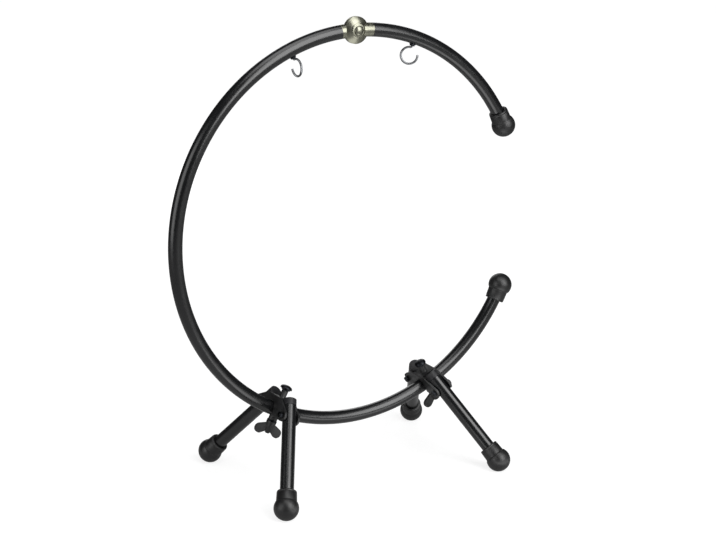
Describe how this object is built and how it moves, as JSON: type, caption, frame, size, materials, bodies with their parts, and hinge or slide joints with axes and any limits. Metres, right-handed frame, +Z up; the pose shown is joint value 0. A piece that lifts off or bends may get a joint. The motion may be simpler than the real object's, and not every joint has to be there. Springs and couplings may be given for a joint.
{
  "type": "gong stand",
  "caption": "Free-standing C-shaped ring of round tube on folding legs, with a jointed upper arm and swivelling hooks that hold a gong.",
  "frame": {"origin": "on the floor, under the middle of the whole stand's box", "axes": "+Z up; -Y towards the front, where the picture looks from; the ring lies in the XZ plane and opens towards +X"},
  "size_m": [0.6416, 0.3102, 0.752],
  "materials": {
    "black_paint": "satin powder coat",
    "black_casting": "painted casting",
    "black_steel": "blackened",
    "black_rubber": "matte",
    "nickel": "dull nickel plating",
    "zinc": "dull zinc plating",
    "black_plastic": "moulded"
  },
  "bodies": {
    "ring": {"long_ring_tube": "black_paint", "lower_rubber_end": "black_rubber", "ring_knuckle": "nickel", "ring_knuckle_screw": "black_steel", "knuckle_friction_washer": "black_plastic", "knuckle_bolt": "nickel", "knuckle_washer": "nickel", "left_hook_insert": "black_steel", "left_hook_nut": "black_steel", "left_leg_bracket": "black_casting", "left_head_washer": "black_steel", "left_clamp_bolt": "black_steel", "left_saddle": "black_casting", "left_nut_washer": "black_steel", "left_front_pivot_bolt": "black_steel", "left_front_pivot_nut": "black_steel", "left_rear_pivot_bolt": "black_steel", "left_rear_pivot_nut": "black_steel", "right_leg_bracket": "black_casting", "right_head_washer": "black_steel", "right_clamp_bolt": "black_steel", "right_saddle": "black_casting", "right_nut_washer": "black_steel", "right_front_pivot_bolt": "black_steel", "right_front_pivot_nut": "black_steel", "right_rear_pivot_bolt": "black_steel", "right_rear_pivot_nut": "black_steel"},
    "arm": {"arm_tube": "black_paint", "arm_rubber_end": "black_rubber", "arm_knuckle": "nickel", "arm_knuckle_screw": "black_steel", "right_hook_insert": "black_steel", "right_hook_nut": "black_steel"},
    "left_front_leg": {"left_front_leg_tube": "black_paint", "left_front_leg_plug": "black_plastic", "left_front_foot": "black_rubber"},
    "left_rear_leg": {"left_rear_leg_tube": "black_paint", "left_rear_leg_plug": "black_plastic", "left_rear_foot": "black_rubber"},
    "right_front_leg": {"right_front_leg_tube": "black_paint", "right_front_leg_plug": "black_plastic", "right_front_foot": "black_rubber"},
    "right_rear_leg": {"right_rear_leg_tube": "black_paint", "right_rear_leg_plug": "black_plastic", "right_rear_foot": "black_rubber"},
    "left_wing_nut": {"left_wing_nut": "black_casting"},
    "right_wing_nut": {"right_wing_nut": "black_casting"},
    "knuckle_wing_nut": {"knuckle_wing_nut": "nickel"},
    "left_hook": {"left_hook": "zinc"},
    "right_hook": {"right_hook": "zinc"}
  },
  "joints": [
    {"name": "arm_fold", "type": "hinge", "parent": "ring", "child": "arm", "pos_m": [0.00357, 0, 0.7305], "axis": [0, 1, 0], "range_deg": [0, 90]},
    {"name": "left_front_leg_fold", "type": "hinge", "parent": "ring", "child": "left_front_leg", "pos_m": [-0.136, -0.042, 0.12596], "axis": [0.8894, 0, -0.4571], "range_deg": [0, 36.7]},
    {"name": "left_rear_leg_fold", "type": "hinge", "parent": "ring", "child": "left_rear_leg", "pos_m": [-0.136, 0.042, 0.12596], "axis": [-0.8894, 0, 0.4571], "range_deg": [0, 36.7]},
    {"name": "right_front_leg_fold", "type": "hinge", "parent": "ring", "child": "right_front_leg", "pos_m": [0.15654, -0.042, 0.12596], "axis": [0.8894, 0, 0.4571], "range_deg": [0, 36.7]},
    {"name": "right_rear_leg_fold", "type": "hinge", "parent": "ring", "child": "right_rear_leg", "pos_m": [0.15654, 0.042, 0.12596], "axis": [-0.8894, 0, -0.4571], "range_deg": [0, 36.7]},
    {"name": "left_wing_nut_turn", "type": "hinge", "parent": "ring", "child": "left_wing_nut", "pos_m": [-0.14523, 0, 0.10799], "axis": [-0.4571, 0, -0.8894], "continuous": true},
    {"name": "right_wing_nut_turn", "type": "hinge", "parent": "ring", "child": "right_wing_nut", "pos_m": [0.16578, 0, 0.10799], "axis": [0.4571, 0, -0.8894], "continuous": true},
    {"name": "knuckle_wing_nut_turn", "type": "hinge", "parent": "ring", "child": "knuckle_wing_nut", "pos_m": [0.00357, 0.0121, 0.7305], "axis": [0, 1, 0], "continuous": true},
    {"name": "left_hook_turn", "type": "hinge", "parent": "ring", "child": "left_hook", "pos_m": [-0.11219, 0, 0.70621], "axis": [-0.3827, 0, 0.9239], "continuous": true},
    {"name": "right_hook_turn", "type": "hinge", "parent": "arm", "child": "right_hook", "pos_m": [0.1134, 0, 0.7135], "axis": [0.3223, 0, 0.9466], "continuous": true}
  ]
}
